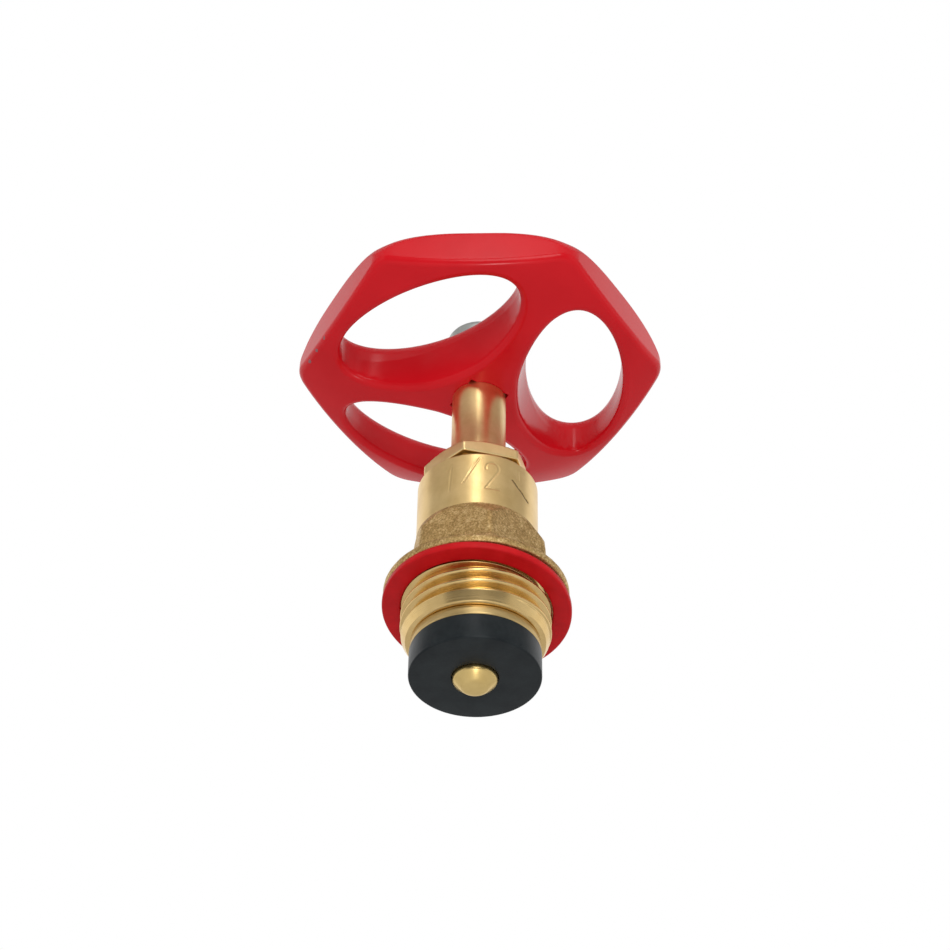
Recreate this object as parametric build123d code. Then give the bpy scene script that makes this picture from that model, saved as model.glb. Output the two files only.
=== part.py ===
from build123d import *
import os
from math import cos, radians, sin, sqrt, tan

# Headwork of a half-inch stop valve: a screwed brass bonnet with a rising spindle, a loose washer
# disc and a six-sided handwheel. Millimetres. The spindle axis is Z and points to the handwheel.
# The origin is on that axis, at the upper end of the pipe thread, just under the gasket.
# The valve is shown fully open, with the disc drawn up to the bonnet.

# Bonnet, outside
thread_d = 20.955
thread_length = 6.5
thread_chamfer = 0.8
thread_relief_depth = 0.9
flange_stand_out = 2.72
flange_rim_height = 1.15
flange_slope_height = 1.3
flange_edge_radius = 0.3
hex_across_flats = 18.4
hex_height = 7.95
hex_edge_radius = 0.9
hex_turn = 40.0
hex_draft = 4.0
hex_chamfer_angle = 60.0
barrel_d = 17.3
barrel_height = 9.6
barrel_edge_chamfer = 0.4

# Bonnet, inside
nose_wall = 3.0
nose_depth = 4.4
stem_thread_d = 12.0
stem_thread_depth = 11.4
back_seat_thickness = 2.0
stuffing_box_d = 12.0
packing_washer_height = 0.8
packing_ring_height = 1.8
follower_height = 1.5
gland_thread_d = 13.0

# Gasket
gasket_stand_out = 0.1
gasket_height = 1.13
gasket_edge_radius = 0.25

# Gland nut
gland_across_flats = 14.0
gland_head_height = 2.2
gland_gap = 1.3
gland_turn = 14.5
gland_chamfer_angle = 30.0

# Spindle
spindle_d = 8.0
stem_thread_length = 11.0
spindle_neck_d = 6.6
button_d = 9.2
button_height = 2.6
wheel_seat_height = 39.35
square_size = 6.4
square_lead = 32.0
square_short = 0.5
tapped_hole_depth = 9.0

# Washer disc
washer_d = 18.2
washer_height = 4.1
washer_edge_radius = 0.35
holder_d = 18.0
holder_flange_height = 1.55
holder_pin_d = 6.2
holder_pin_stand_out = 1.3
holder_pin_chamfer = 1.1
cup_wall = 1.6
cup_lip_height = 1.0
cup_floor_drop = 0.5

# Handwheel
wheel_across_corners = 55.92
side_bulge_height = 0.44
corner_radius = 3.76
wheel_turn = -2.4
hub_height = 9.3
hub_d = 13.0
rim_width = 6.1
spoke_width = 4.3
underside_rise_at_corner = 6.3
top_rise_at_rim = 1.5
top_drop_at_corner = 1.6
rim_crest_inset = 1.2
rim_top_radius = 0.7
rim_lower_radius = 1.1
window_top_radius = 1.2
window_lower_radius = 1.1
window_draft = 10.0
window_count = 3
screw_seat_d = 8.8
screw_seat_height = 0.3

# Handwheel screw
screw_d = 5.0
screw_length = 8.0
screw_head_d = 10.2
screw_head_height = 3.3
screw_head_radius = 1.6
screw_slot_width = 1.2
screw_slot_depth = 1.3

# Clearances
open_gap = 0.1
gasket_gap = 0.1
back_seat_gap = 0.3
thread_clearance = 0.15
stem_clearance = 0.1
packing_clearance = 0.05
washer_hole_clearance = 0.2
gasket_clearance = 0.25
button_clearance = 0.25
button_play = 0.15
square_clearance = 0.05
screw_clearance = 0.05

# Heights of the bonnet's steps
flange_base = gasket_gap + gasket_height
flange_rim_top = flange_base + flange_rim_height
hex_base = flange_rim_top + flange_slope_height
hex_top = hex_base + hex_height
barrel_top = hex_top + barrel_height
nose_end = -thread_length
nose_top = nose_end + nose_depth
back_seat = nose_top + stem_thread_depth
packing_floor = back_seat + back_seat_thickness
ring_base = packing_floor + packing_washer_height
follower_base = ring_base + 2 * packing_ring_height
gland_neck_end = follower_base + follower_height
gland_head_base = barrel_top + gland_gap

# Heights of the disc and the spindle, with the valve open
holder_back = nose_end - open_gap
washer_back = holder_back - holder_flange_height
washer_face = washer_back - washer_height
stem_thread_top = back_seat - back_seat_gap
stem_thread_end = stem_thread_top - stem_thread_length
button_end = holder_back - cup_floor_drop + button_play
button_top = button_end + button_height
lip_base = button_top + button_play
hub_top = wheel_seat_height + hub_height
square_top = hub_top - square_short
spoke_angle = 180 / window_count
rim_middle = (wheel_seat_height + underside_rise_at_corner + hub_top - top_drop_at_corner) / 2

# Radii that several pieces share
thread_r = thread_d / 2
flange_r = thread_r + flange_stand_out
nose_r = thread_r - nose_wall
stem_thread_r = stem_thread_d / 2
stem_bore_r = spindle_d / 2 + stem_clearance
cup_r = button_d / 2 + button_clearance + cup_wall


def ring(outer_r, inner_r, base, height):
    """Plain round ring on the spindle axis."""
    section = Pos(0, 0, base) * (Circle(outer_r) - Circle(inner_r))
    return extrude(section, height)


def turned(points):
    """Turned solid from an (r, z) outline that closes on itself."""
    section = make_face(Polyline([(r, 0, z) for r, z in points], close=True))
    return revolve(section, Axis.Z)


def widest_rims(solid):
    """The round edges of the largest radius, such as a flange's two rims."""
    return solid.edges().filter_by(GeomType.CIRCLE).group_by(SortBy.RADIUS)[-1]


def hex_prism(across_flats, base, height, turn, corner_radius=0.0, draft=0.0):
    """Hexagon on the spindle axis, one corner at the given angle from X, tapering by its draft."""
    outline = RegularPolygon(across_flats / 2, 6, major_radius=False)
    if corner_radius:
        outline = fillet(outline.vertices(), corner_radius)
    return extrude(Pos(0, 0, base) * Rot(0, 0, turn) * outline, height, taper=draft)


def make_bonnet():
    """Forged and turned body, from the pipe thread up to the barrel."""
    corner_r = hex_across_flats / 2 / cos(radians(30))
    barrel_r = barrel_d / 2
    chamfer_drop = (corner_r - barrel_r) * tan(radians(hex_chamfer_angle))
    nose = turned([
        (0, nose_end),
        (thread_r - thread_chamfer, nose_end),
        (thread_r, nose_end + thread_chamfer),
        (thread_r, 0),
        (thread_r - thread_relief_depth, 0),
        (thread_r - thread_relief_depth, flange_base),
        (0, flange_base),
    ])
    flange = turned([
        (0, flange_base),
        (flange_r, flange_base),
        (flange_r, flange_rim_top),
        (corner_r, hex_base),
        (0, hex_base),
    ])
    flange = fillet(widest_rims(flange), flange_edge_radius)
    hexagon = hex_prism(hex_across_flats, hex_base, hex_height, hex_turn, hex_edge_radius, hex_draft)
    chamfer_cone = turned([
        (0, hex_base),
        (corner_r, hex_base),
        (corner_r, hex_top - chamfer_drop),
        (barrel_r, hex_top),
        (0, hex_top),
    ])
    barrel = Pos(0, 0, hex_base) * extrude(Circle(barrel_r), hex_height + barrel_height)
    barrel = chamfer(barrel.edges().group_by(Axis.Z)[-1], barrel_edge_chamfer)
    body = nose + flange + (hexagon & chamfer_cone) + barrel
    inside = turned([
        (0, nose_end),
        (nose_r, nose_end),
        (nose_r, nose_top),
        (stem_thread_r + thread_clearance, nose_top),
        (stem_thread_r + thread_clearance, back_seat),
        (stem_bore_r, back_seat),
        (stem_bore_r, packing_floor),
        (stuffing_box_d / 2, packing_floor),
        (stuffing_box_d / 2, follower_base),
        (gland_thread_d / 2 + thread_clearance, follower_base),
        (gland_thread_d / 2 + thread_clearance, barrel_top),
        (0, barrel_top),
    ])
    return body - inside


def make_gasket():
    """Flat ring under the flange."""
    gasket_r = flange_r + gasket_stand_out
    gasket = ring(gasket_r, thread_r + gasket_clearance, gasket_gap, gasket_height)
    return fillet(widest_rims(gasket), gasket_edge_radius)


def make_packing_washer():
    """Floor ring of the stuffing box."""
    outer_r = stuffing_box_d / 2 - packing_clearance
    return ring(outer_r, stem_bore_r, packing_floor, packing_washer_height)


def make_packing_ring(place):
    """One of the two sealing rings, counted from the floor."""
    outer_r = stuffing_box_d / 2 - packing_clearance
    inner_r = spindle_d / 2 + packing_clearance
    return ring(outer_r, inner_r, ring_base + place * packing_ring_height, packing_ring_height)


def make_gland_follower():
    """Ring that the gland nut presses on the packing."""
    return ring(stuffing_box_d / 2 - packing_clearance, stem_bore_r, follower_base, follower_height)


def make_gland_nut():
    """Thin hexagon head with a screwed neck, bored for the spindle."""
    corner_r = gland_across_flats / 2 / cos(radians(30))
    flat_r = gland_across_flats / 2
    drop = (corner_r - flat_r) * tan(radians(gland_chamfer_angle))
    head_top = gland_head_base + gland_head_height
    head = hex_prism(gland_across_flats, gland_head_base, gland_head_height, gland_turn)
    head_cone = turned([
        (0, gland_head_base),
        (corner_r, gland_head_base),
        (corner_r, head_top - drop),
        (flat_r, head_top),
        (0, head_top),
    ])
    neck_length = gland_head_base - gland_neck_end
    neck = Pos(0, 0, gland_neck_end) * extrude(Circle(gland_thread_d / 2), neck_length)
    bore = Pos(0, 0, gland_neck_end) * extrude(Circle(stem_bore_r), neck_length + gland_head_height)
    return (head & head_cone) + neck - bore


def make_spindle():
    """Turned stem: swivel button, screw thread, round shank and the square for the handwheel."""
    shank_r = spindle_d / 2
    stem = turned([
        (0, button_end),
        (button_d / 2, button_end),
        (button_d / 2, button_top),
        (spindle_neck_d / 2, button_top),
        (spindle_neck_d / 2, stem_thread_end),
        (stem_thread_r, stem_thread_end),
        (stem_thread_r, stem_thread_top),
        (shank_r, stem_thread_top),
        (shank_r, square_top),
        (0, square_top),
    ])
    square_height = square_top - wheel_seat_height
    flats = Rot(0, 0, wheel_turn + square_lead) * (Circle(spindle_d) - Rectangle(square_size, square_size))
    stem -= Pos(0, 0, wheel_seat_height) * extrude(flats, square_height)
    tapped_hole = Pos(0, 0, square_top - tapped_hole_depth)
    return stem - tapped_hole * extrude(Circle(screw_d / 2), tapped_hole_depth)


def make_disc_holder():
    """Brass disc with a pin in front for the washer and a crimped cup behind for the spindle."""
    pin_r = holder_pin_d / 2
    pin_end = washer_face - holder_pin_stand_out
    lip_top = lip_base + cup_lip_height
    cavity_r = button_d / 2 + button_clearance
    return turned([
        (0, pin_end),
        (pin_r - holder_pin_chamfer, pin_end),
        (pin_r, pin_end + holder_pin_chamfer),
        (pin_r, washer_back),
        (holder_d / 2, washer_back),
        (holder_d / 2, holder_back),
        (cup_r, holder_back),
        (cup_r, lip_top),
        (spindle_neck_d / 2 + button_clearance, lip_top),
        (spindle_neck_d / 2 + button_clearance, lip_base),
        (cavity_r, lip_base),
        (cavity_r, holder_back - cup_floor_drop),
        (0, holder_back - cup_floor_drop),
    ])


def make_seat_washer():
    """Rubber washer on the holder's pin."""
    hole_r = holder_pin_d / 2 + washer_hole_clearance
    washer = ring(washer_d / 2, hole_r, washer_face, washer_height)
    return fillet(widest_rims(washer), washer_edge_radius)


def wheel_outline():
    """Hexagon with gently convex sides and rounded corners."""
    corner_r = wheel_across_corners / 2
    bulge_r = corner_r * cos(radians(30)) + side_bulge_height
    sides = []
    for k in range(6):
        start, middle, end = radians(60 * k), radians(60 * k + 30), radians(60 * k + 60)
        sides.append(ThreePointArc(
            (corner_r * cos(start), corner_r * sin(start)),
            (bulge_r * cos(middle), bulge_r * sin(middle)),
            (corner_r * cos(end), corner_r * sin(end)),
        ))
    outline = make_face(sides)
    return fillet(outline.vertices(), corner_radius)


def wheel_crown():
    """Turned envelope of the handwheel: a shallow bowl below, a dish inside a rounded rim above."""
    corner_r = wheel_across_corners / 2
    crest_r = corner_r * cos(radians(30)) - rim_crest_inset
    corner_base = wheel_seat_height + underside_rise_at_corner
    below = TangentArc((0, 0, wheel_seat_height), (corner_r, 0, corner_base), tangent=(1, 0, 0))
    above = Spline(
        (corner_r, 0, hub_top - top_drop_at_corner),
        (crest_r, 0, hub_top + top_rise_at_rim),
        (0, 0, hub_top - screw_seat_height),
        tangents=[(-1, 0, 1), (-1, 0, 0)],
    )
    edge = Line(below @ 1, above @ 0)
    axis = Line(above @ 1, below @ 0)
    crown = revolve(make_face([below, edge, above, axis]), Axis.Z)
    return Rot(0, 0, spoke_angle) * crown


def window_cutter():
    """Oval window that widens upwards, worked out from the hub, the rim and the spokes it leaves."""
    corner_round = corner_radius * (1 / cos(radians(30)) - 1)
    outer = wheel_across_corners / 2 - corner_round - rim_width
    inner = hub_d / 2
    centre = (outer + inner) / 2
    radial = (outer - inner) / 2
    half_angle = radians(spoke_angle)
    reach = centre * sin(half_angle) - spoke_width / 2
    tangential = sqrt(reach**2 - (radial * sin(half_angle)) ** 2) / cos(half_angle)
    spread = hub_height * tan(radians(window_draft))
    narrow = Pos(centre, 0, rim_middle - hub_height) * Ellipse(radial - spread, tangential - spread)
    wide = Pos(centre, 0, rim_middle + hub_height) * Ellipse(radial + spread, tangential + spread)
    return loft([narrow, wide], ruled=True)


def lips(wheel, wall, upper):
    """Curved edges where walls of one kind run into the top, or into the underside."""
    curves = wheel.faces().filter_by(wall).edges().filter_by(GeomType.LINE, reverse=True)
    return curves.filter_by(lambda edge: ((edge @ 0.5).Z > rim_middle) == upper)


def make_handwheel():
    """Cast handwheel: crowned hexagon, three oval windows, rounded edges and a square hole."""
    blank = extrude(wheel_outline(), wheel_seat_height + 2 * hub_height)
    wheel = blank & wheel_crown()
    window = window_cutter()
    for k in range(window_count):
        wheel -= Rot(0, 0, 360 * k / window_count) * window
    wheel = fillet(lips(wheel, GeomType.BSPLINE, False), window_lower_radius)
    wheel = fillet(lips(wheel, GeomType.BSPLINE, True), window_top_radius)
    wheel = fillet(lips(wheel, GeomType.CYLINDER, True), rim_top_radius)
    wheel = fillet(lips(wheel, GeomType.CYLINDER, False), rim_lower_radius)
    seat = Pos(0, 0, wheel_seat_height + hub_height / 2) * extrude(Circle(screw_seat_d / 2), hub_height / 2)
    wheel += seat
    hole_size = square_size + 2 * square_clearance
    hole = Rot(0, 0, square_lead) * Rectangle(hole_size, hole_size)
    wheel -= Pos(0, 0, wheel_seat_height) * extrude(hole, hub_height)
    return Rot(0, 0, wheel_turn) * wheel


def make_handwheel_screw():
    """Slotted pan-head screw that holds the handwheel on the square."""
    head_r = screw_head_d / 2
    head = Pos(0, 0, hub_top) * extrude(Circle(head_r), screw_head_height)
    head = fillet(head.edges().group_by(Axis.Z)[-1], screw_head_radius)
    slot = Box(2 * screw_head_d, screw_slot_width, 2 * screw_slot_depth)
    head -= Pos(0, 0, hub_top + screw_head_height) * slot
    shank_r = screw_d / 2 - screw_clearance
    shank = Pos(0, 0, hub_top - screw_length) * extrude(Circle(shank_r), screw_length)
    return head + shank


nodes = {
    "bonnet": make_bonnet(),
    "bonnet_gasket": make_gasket(),
    "packing_washer": make_packing_washer(),
    "packing_ring_lower": make_packing_ring(0),
    "packing_ring_upper": make_packing_ring(1),
    "gland_follower": make_gland_follower(),
    "gland_nut": make_gland_nut(),
    "spindle": make_spindle(),
    "disc_holder": make_disc_holder(),
    "seat_washer": make_seat_washer(),
    "handwheel": make_handwheel(),
    "handwheel_screw": make_handwheel_screw(),
}

os.makedirs("parts", exist_ok=True)
for name, solid in nodes.items():
    export_step(solid, f"parts/{name}.step")
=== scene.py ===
import math

import bmesh
import bpy
import numpy as np
from mathutils import Matrix, Vector, geometry, kdtree, noise


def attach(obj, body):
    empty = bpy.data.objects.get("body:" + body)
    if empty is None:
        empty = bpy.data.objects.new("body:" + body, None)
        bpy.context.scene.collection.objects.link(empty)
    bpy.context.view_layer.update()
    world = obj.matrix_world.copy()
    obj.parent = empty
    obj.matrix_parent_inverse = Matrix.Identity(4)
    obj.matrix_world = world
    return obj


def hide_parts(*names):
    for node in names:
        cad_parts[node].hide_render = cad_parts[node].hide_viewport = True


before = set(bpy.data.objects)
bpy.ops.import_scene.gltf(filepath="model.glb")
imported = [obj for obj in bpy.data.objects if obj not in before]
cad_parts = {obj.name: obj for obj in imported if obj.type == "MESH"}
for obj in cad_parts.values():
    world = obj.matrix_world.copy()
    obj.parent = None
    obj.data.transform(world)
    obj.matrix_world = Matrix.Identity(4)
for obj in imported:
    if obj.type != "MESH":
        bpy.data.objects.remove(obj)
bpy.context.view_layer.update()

# Headwork of a stop valve, with its spindle on Z. The sizes of its pieces are in millimetres.
MM = 0.001

# Bonnet: thread, flange, forged hexagon and barrel
THREAD_R = 10.4775
THREAD_PITCH = 1.814
THREAD_ANGLE = 27.5
THREAD_ROUND = 0.249
THREAD_DEPTH = 1.162
THREAD_RISE = 0.72
THREAD_FADE = (-5.7, -5.0)
THREAD_ROW_STEP = 0.075
LEAD_R = 9.65
LEAD_SLOPE = 0.58
NOSE_END = -6.5
NOSE_BORE_R = 7.48
NOSE_SOFT = 0.15
RELIEF_R = 9.58
RELIEF_BASE = 0.02
FLANGE_BASE = 1.23
FLANGE_TOP = 2.38
FLANGE_R = 12.98
FLANGE_SOFT = 0.3
FLANGE_GRAIN = 0.6
SHOULDER_R = FLANGE_R - 1.2
SHOULDER_TOP = FLANGE_TOP + 0.55
FILLET_TOP = 4.9
FILLET_PULL = 0.15
FILLET_ROWS = 10
HEX_FLAT_R = 9.2
HEX_ROUND = 0.9
HEX_TURN = 40.0
HEX_BASE = 3.68
HEX_TOP = 11.63
HEX_DRAFT = 4.0
HEX_CHAMFER = 60.0
HEX_OVERRUN = 0.1
HEX_ROWS = 34
BARREL_R = 8.65
BARREL_TOP = 21.23
BARREL_CHAMFER = 0.4
BARREL_SOFT = 0.14
PLAIN_FROM = HEX_TOP + 0.25
PLAIN_TO = 13.9
PLAIN_ROWS = 8
MARK_FROM = 14.0
MARK_TO = 20.6
MARK_ROW_STEP = 0.085
RIM_FROM = 20.65

# Bores of the bonnet, from the top: gland thread, stuffing box, stem and stem thread
GLAND_BORE_R = 6.65
GLAND_BORE_LIP = BARREL_TOP - 0.6
GLAND_BORE_END = 15.7
BOX_R = 6.0
BOX_END = 11.3
STEM_BORE_R = 4.1
STEM_BORE_END = 9.3
STEM_THREAD_R = 6.15
STEM_THREAD_END = -2.1

# Gland nut
GLAND_BASE = 22.53
GLAND_TOP = 24.73
GLAND_END = 17.2
GLAND_FLAT_R = 7.0
GLAND_ROUND = 0.25
GLAND_TURN = 14.5
GLAND_CHAMFER = 30.0
GLAND_NECK_R = 6.5
GLAND_LAND = 0.5
GLAND_SOFT = 0.16
GLAND_WALL_FROM = GLAND_BASE + 0.4
GLAND_WALL_ROWS = 14
GLAND_FACE_R = GLAND_FLAT_R - 0.2
GLAND_MOUTH = GLAND_TOP - 1.0
GLAND_MOUTH_SOFT = 0.3
GLAND_COLUMNS = 288

# Washer disc: pin, disc, washer, and the cup on the disc's back
HOLDER_BACK = -6.6
HOLDER_R = 9.0
HOLDER_SOFT = 0.3
WASHER_BACK = -8.15
WASHER_SEAM = -10.0
WASHER_FACE = -12.25
WASHER_R = 9.1
WASHER_HOLE_R = 3.16
WASHER_SOFT = 0.28
PIN_R = 3.1
PIN_END = -14.0
PIN_CHAMFER_WIDTH = 1.35
PIN_CHAMFER_HEIGHT = 1.25
PIN_DOME = PIN_END - 0.1
PIN_TIP = PIN_END - 0.11
AXIS_RING_R = 0.5
CUP_R = 6.45
CUP_TOP = -3.2
CUP_MOUTH_R = 3.55
CUP_LIP = -4.2
CUP_BORE_R = 4.85
CUP_FLOOR = -7.1

# Gasket, which hangs loose on the thread
GASKET_R = 13.2
GASKET_HOLE_R = 10.58
GASKET_HEIGHT = 1.13
GASKET_SEAM = 0.5
GASKET_SOFT = 0.34
GASKET_DROP = -0.92
GASKET_SHIFT = 0.07
GASKET_SLOPE_X = -0.047
GASKET_SLOPE_Y = -0.062
GASKET_COLUMNS = 256

# Handwheel: a hexagon with convex sides and three oval windows, dished above and bowl-shaped below.
# A face has its height on the axis, its rise and its lip at CROWN_R from the axis, and the lip's power.
# A rounding is a pair of radii, above and below. A window also widens downwards, most by the hub:
# distances from the axis, and the draft in degrees and the drafted height at each.
WHEEL_R = 27.95
WHEEL_BULGE = 0.28
WHEEL_ROUND = 3.9
WHEEL_TURN = -2.4
CROWN_R = 25.0
WHEEL_TOP = (49.05, 1.7, -0.9, 16)
WHEEL_UNDER = (39.3, 4.15, 0.28, 10)
RIM_ROUND = (0.75, 0.8)
WINDOW_AT = 14.22
WINDOW_HALF = (7.25, 15.0)
WINDOW_POWER = 1.94
WINDOW_ROUND = (3.0, 1.15)
WINDOW_TURNS = (0.0, 120.0, 240.0)
DRAFT_AT = (7.0, 18.0, 21.0)
DRAFT = (12.5, 5.0, 0.6)
DRAFT_HEIGHT = (6.1, 3.6, 2.6)
NO_DRAFT = 0.3
SCREW_SEAT_R = 5.3
SCREW_SEAT_SLOPE = 1.2
SCREW_SEAT_DEPTH = 0.42
HOLE_HALF = 3.25
HOLE_TURN = 32.0

# Mesh of the handwheel: steps along its edges and of the field between, and rows beside the edges.
# Round a window, even rows lie between the first and the last ones.
EDGE_STEP = 0.36
DENSE_STEP = 0.03
FIELD_STEP = 0.62
FIELD_ROW_STEP = FIELD_STEP * 0.866
HOLE_CLEAR = HOLE_HALF * 1.42 + FIELD_STEP / 2
POINT_GAP = 0.12
MERGE_GAP = 1e-7
RIM_ROWS = 9
WINDOW_FIRST_ROWS = (0.0, 0.03, 0.09, 0.17)
WINDOW_LAST_ROWS = (2.4, 2.7, 3.0)
WINDOW_ROW_STEP = 0.115
WALL_ROWS = 3

# Columns round the spindle axis; the bonnet's are closer together in front, where the size mark is stamped
FRONT = -90.0
FRONT_FROM = FRONT - 38.0
FRONT_TO = FRONT + 60.0
FRONT_COLUMNS = 170
BACK_COLUMNS = 150
PLAIN_COLUMNS = 192

# Rounded corners: the most of a side that one takes, an arc's middle as a share of its radius, and steps
SIDE_SHARE = 0.45
ARC_MIDDLE = 0.3
SOFT_STEPS = 4
MOULD_STEPS = 6


def column_angles():
    """Angles of the bonnet's columns, in radians."""
    front = np.linspace(FRONT_FROM, FRONT_TO, FRONT_COLUMNS, endpoint=False)
    back = np.linspace(FRONT_TO, FRONT_FROM + 360.0, BACK_COLUMNS, endpoint=False)
    return np.radians(np.concatenate([front, back]))


def even_angles(count=PLAIN_COLUMNS):
    """Evenly spaced angles, in radians."""
    return np.linspace(0.0, 2.0 * math.pi, count, endpoint=False)


def softened(points, radius, steps=SOFT_STEPS):
    """Open (r, z) outline with each inner corner rounded."""
    out = [np.array(points[0], float)]
    for before, corner, after in zip(points, points[1:], points[2:]):
        before, corner, after = (np.array(p, float) for p in (before, corner, after))
        back, ahead = before - corner, after - corner
        reach = min(radius, SIDE_SHARE * np.linalg.norm(back), SIDE_SHARE * np.linalg.norm(ahead))
        start = corner + back / np.linalg.norm(back) * reach
        end = corner + ahead / np.linalg.norm(ahead) * reach
        for t in np.linspace(0.0, 1.0, steps):
            out.append((1 - t) ** 2 * start + 2 * t * (1 - t) * corner + t**2 * end)
    out.append(np.array(points[-1], float))
    return out


def hex_radius(angles, flat_r, corner_round, turn):
    """Radius of a hexagon with rounded corners at each angle, one corner at the given turn."""
    third = math.pi / 3
    from_corner = np.abs((angles - math.radians(turn) + third / 2) % third - third / 2)
    flat = flat_r / np.cos(math.pi / 6 - from_corner)
    centre = (flat_r - corner_round) / math.cos(math.pi / 6)
    limit = math.atan2(corner_round / 2, centre + corner_round * math.cos(math.pi / 6))
    inside = np.clip(corner_round**2 - (centre * np.sin(from_corner)) ** 2, 0.0, None)
    rounded = centre * np.cos(from_corner) + np.sqrt(inside)
    return np.where(from_corner < limit, rounded, flat)


def thread_radius(angles, z):
    """Radius of the right-handed pipe thread, with rounded crests and roots."""
    phase = ((z - THREAD_RISE) / THREAD_PITCH - angles / (2 * math.pi)) % 1.0
    from_crest = np.minimum(phase, 1.0 - phase) * THREAD_PITCH
    slope = 1.0 / math.tan(math.radians(THREAD_ANGLE))
    arc_x = THREAD_ROUND * math.cos(math.radians(THREAD_ANGLE))
    arc_drop = THREAD_ROUND * (1 - math.sin(math.radians(THREAD_ANGLE)))
    from_root = THREAD_PITCH / 2 - from_crest
    crest = THREAD_ROUND - np.sqrt(np.clip(THREAD_ROUND**2 - from_crest**2, 0, None))
    root = THREAD_DEPTH - THREAD_ROUND + np.sqrt(np.clip(THREAD_ROUND**2 - from_root**2, 0, None))
    flank = arc_drop + slope * (from_crest - arc_x)
    drop = np.where(from_crest < arc_x, crest, np.where(from_root < arc_x, root, flank))
    fade_from, fade_to = THREAD_FADE
    return THREAD_R - drop * np.clip((z - fade_from) / (fade_to - fade_from), 0.0, 1.0)


def ring_piece(name, rings, angles, materials, zones=None, tips=None):
    """Closed piece from rings of (radius, height) round the axis; zones gives each face's material.

    A piece that is solid on the axis has tips, the heights of its first and last points there.
    """
    count = len(angles)
    points = np.zeros((len(rings), count, 3))
    for k, (radius, height) in enumerate(rings):
        points[k, :, 0] = radius * np.cos(angles)
        points[k, :, 1] = radius * np.sin(angles)
        points[k, :, 2] = height
    here = np.arange(count)
    there = (here + 1) % count
    faces = []
    points = points.reshape(-1, 3)
    bands = len(rings) if tips is None else len(rings) - 1
    for k in range(bands):
        a, b = k * count, (k + 1) % len(rings) * count
        faces += np.stack([a + here, a + there, b + there, b + here], axis=1).tolist()
    if tips is not None:
        first, last = len(points), len(points) + 1
        final = (len(rings) - 1) * count
        faces += [[first, int(k), int(m)] for k, m in zip(there, here)]
        faces += [[last, final + int(k), final + int(m)] for k, m in zip(here, there)]
        points = np.vstack([points, [(0.0, 0.0, height) for height in tips]])
    mesh = bpy.data.meshes.new(name)
    mesh.from_pydata((points * MM).tolist(), [], faces)
    for material in materials:
        mesh.materials.append(material)
    if zones is not None:
        mesh.polygons.foreach_set("material_index", np.asarray(zones, np.int32).ravel())
    return finished(name, mesh)


def finished(name, mesh):
    """Object of a closed mesh, with normals outward and smooth shading."""
    work = bmesh.new()
    work.from_mesh(mesh)
    bmesh.ops.recalc_face_normals(work, faces=work.faces)
    work.to_mesh(mesh)
    work.free()
    mesh.shade_smooth()
    piece = bpy.data.objects.new(name, mesh)
    bpy.context.scene.collection.objects.link(piece)
    return piece


# Stamped size mark and scratch on the barrel: strokes in arc length from the front and height.
# A low lip runs along both sides of a stamped stroke, at a distance in stroke widths.
def arc_points(centre, size, start, end, steps=14):
    """Points on an oval arc, angles in degrees."""
    turn = np.radians(np.linspace(start, end, steps))
    return [(centre[0] + size[0] * math.cos(a), centre[1] + size[1] * math.sin(a)) for a in turn]


ONE = [(-4.6, 18.4), (-3.9, 19.4), (-4.2, 14.6)]
SLASH = [(0.15, 20.0), (-2.15, 15.6)]
TWO = arc_points((2.05, 18.3), (0.95, 1.05), 190, -25) + [(1.05, 14.5), (3.1, 14.5)]
INCH = [[(5.95, 19.4), (6.05, 17.9)], [(6.5, 19.5), (6.6, 17.9)]]
STROKES = [ONE, SLASH, TWO] + INCH
STROKE_WIDTH = 0.14
STROKE_DEPTH = 0.033
SCRATCH = [(5.1, 17.3), (6.1, 16.35), (6.9, 15.9), (7.5, 15.35), (8.3, 15.0)]
SCRATCH_WIDTH = 0.13
SCRATCH_DEPTH = 0.08
SCRATCH_DARK = 0.04
LIP_HEIGHT = 0.25
LIP_AT = 1.9
LIP_SHARPNESS = 3.0


def stroke_distance(x, z, line):
    """Distance from each point to a polyline."""
    best = np.full(x.shape, np.inf)
    for (ax, az), (bx, bz) in zip(line, line[1:]):
        dx, dz = bx - ax, bz - az
        t = np.clip(((x - ax) * dx + (z - az) * dz) / (dx * dx + dz * dz), 0.0, 1.0)
        best = np.minimum(best, np.hypot(x - ax - t * dx, z - az - t * dz))
    return best


def stamped_depth(angles, z):
    """Depth of the stamped mark and of the scratch in the barrel at one height."""
    across = np.radians((np.degrees(angles) - FRONT + 180.0) % 360.0 - 180.0) * BARREL_R
    height = np.full(across.shape, z)
    depth = np.zeros(across.shape)
    for line in STROKES:
        near = stroke_distance(across, height, line) / STROKE_WIDTH
        lip = LIP_HEIGHT * np.exp(-((near - LIP_AT) ** 2) * LIP_SHARPNESS)
        depth += STROKE_DEPTH * (np.exp(-near**2) - lip)
    scratch = stroke_distance(across, height, SCRATCH) / SCRATCH_WIDTH
    return depth, SCRATCH_DEPTH * np.exp(-scratch**2)


# Round pieces, each from rings of (radius, height)
FORGE_ROUGHNESS = 0.035
FORGE_SCALE = 1.4
FORGE_FINER = 3.1
FORGE_FINE_SHARE = 0.5
THREAD_SKIN, FORGED_SKIN, POLISHED_SKIN, SCRATCHED_SKIN = range(4)
HOLDER_SKIN, PIN_LIT_SKIN = range(2)


def forged(radius, height, angles, strength=1.0):
    """Radius with the small unevenness of a forged skin."""
    shift = []
    for r, a in zip(np.full(angles.shape, radius), angles):
        place = Vector((r * math.cos(a), r * math.sin(a), height)) * FORGE_SCALE
        shift.append(noise.noise(place) + FORGE_FINE_SHARE * noise.noise(place * FORGE_FINER))
    return radius + FORGE_ROUGHNESS * strength * np.array(shift)


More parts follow.
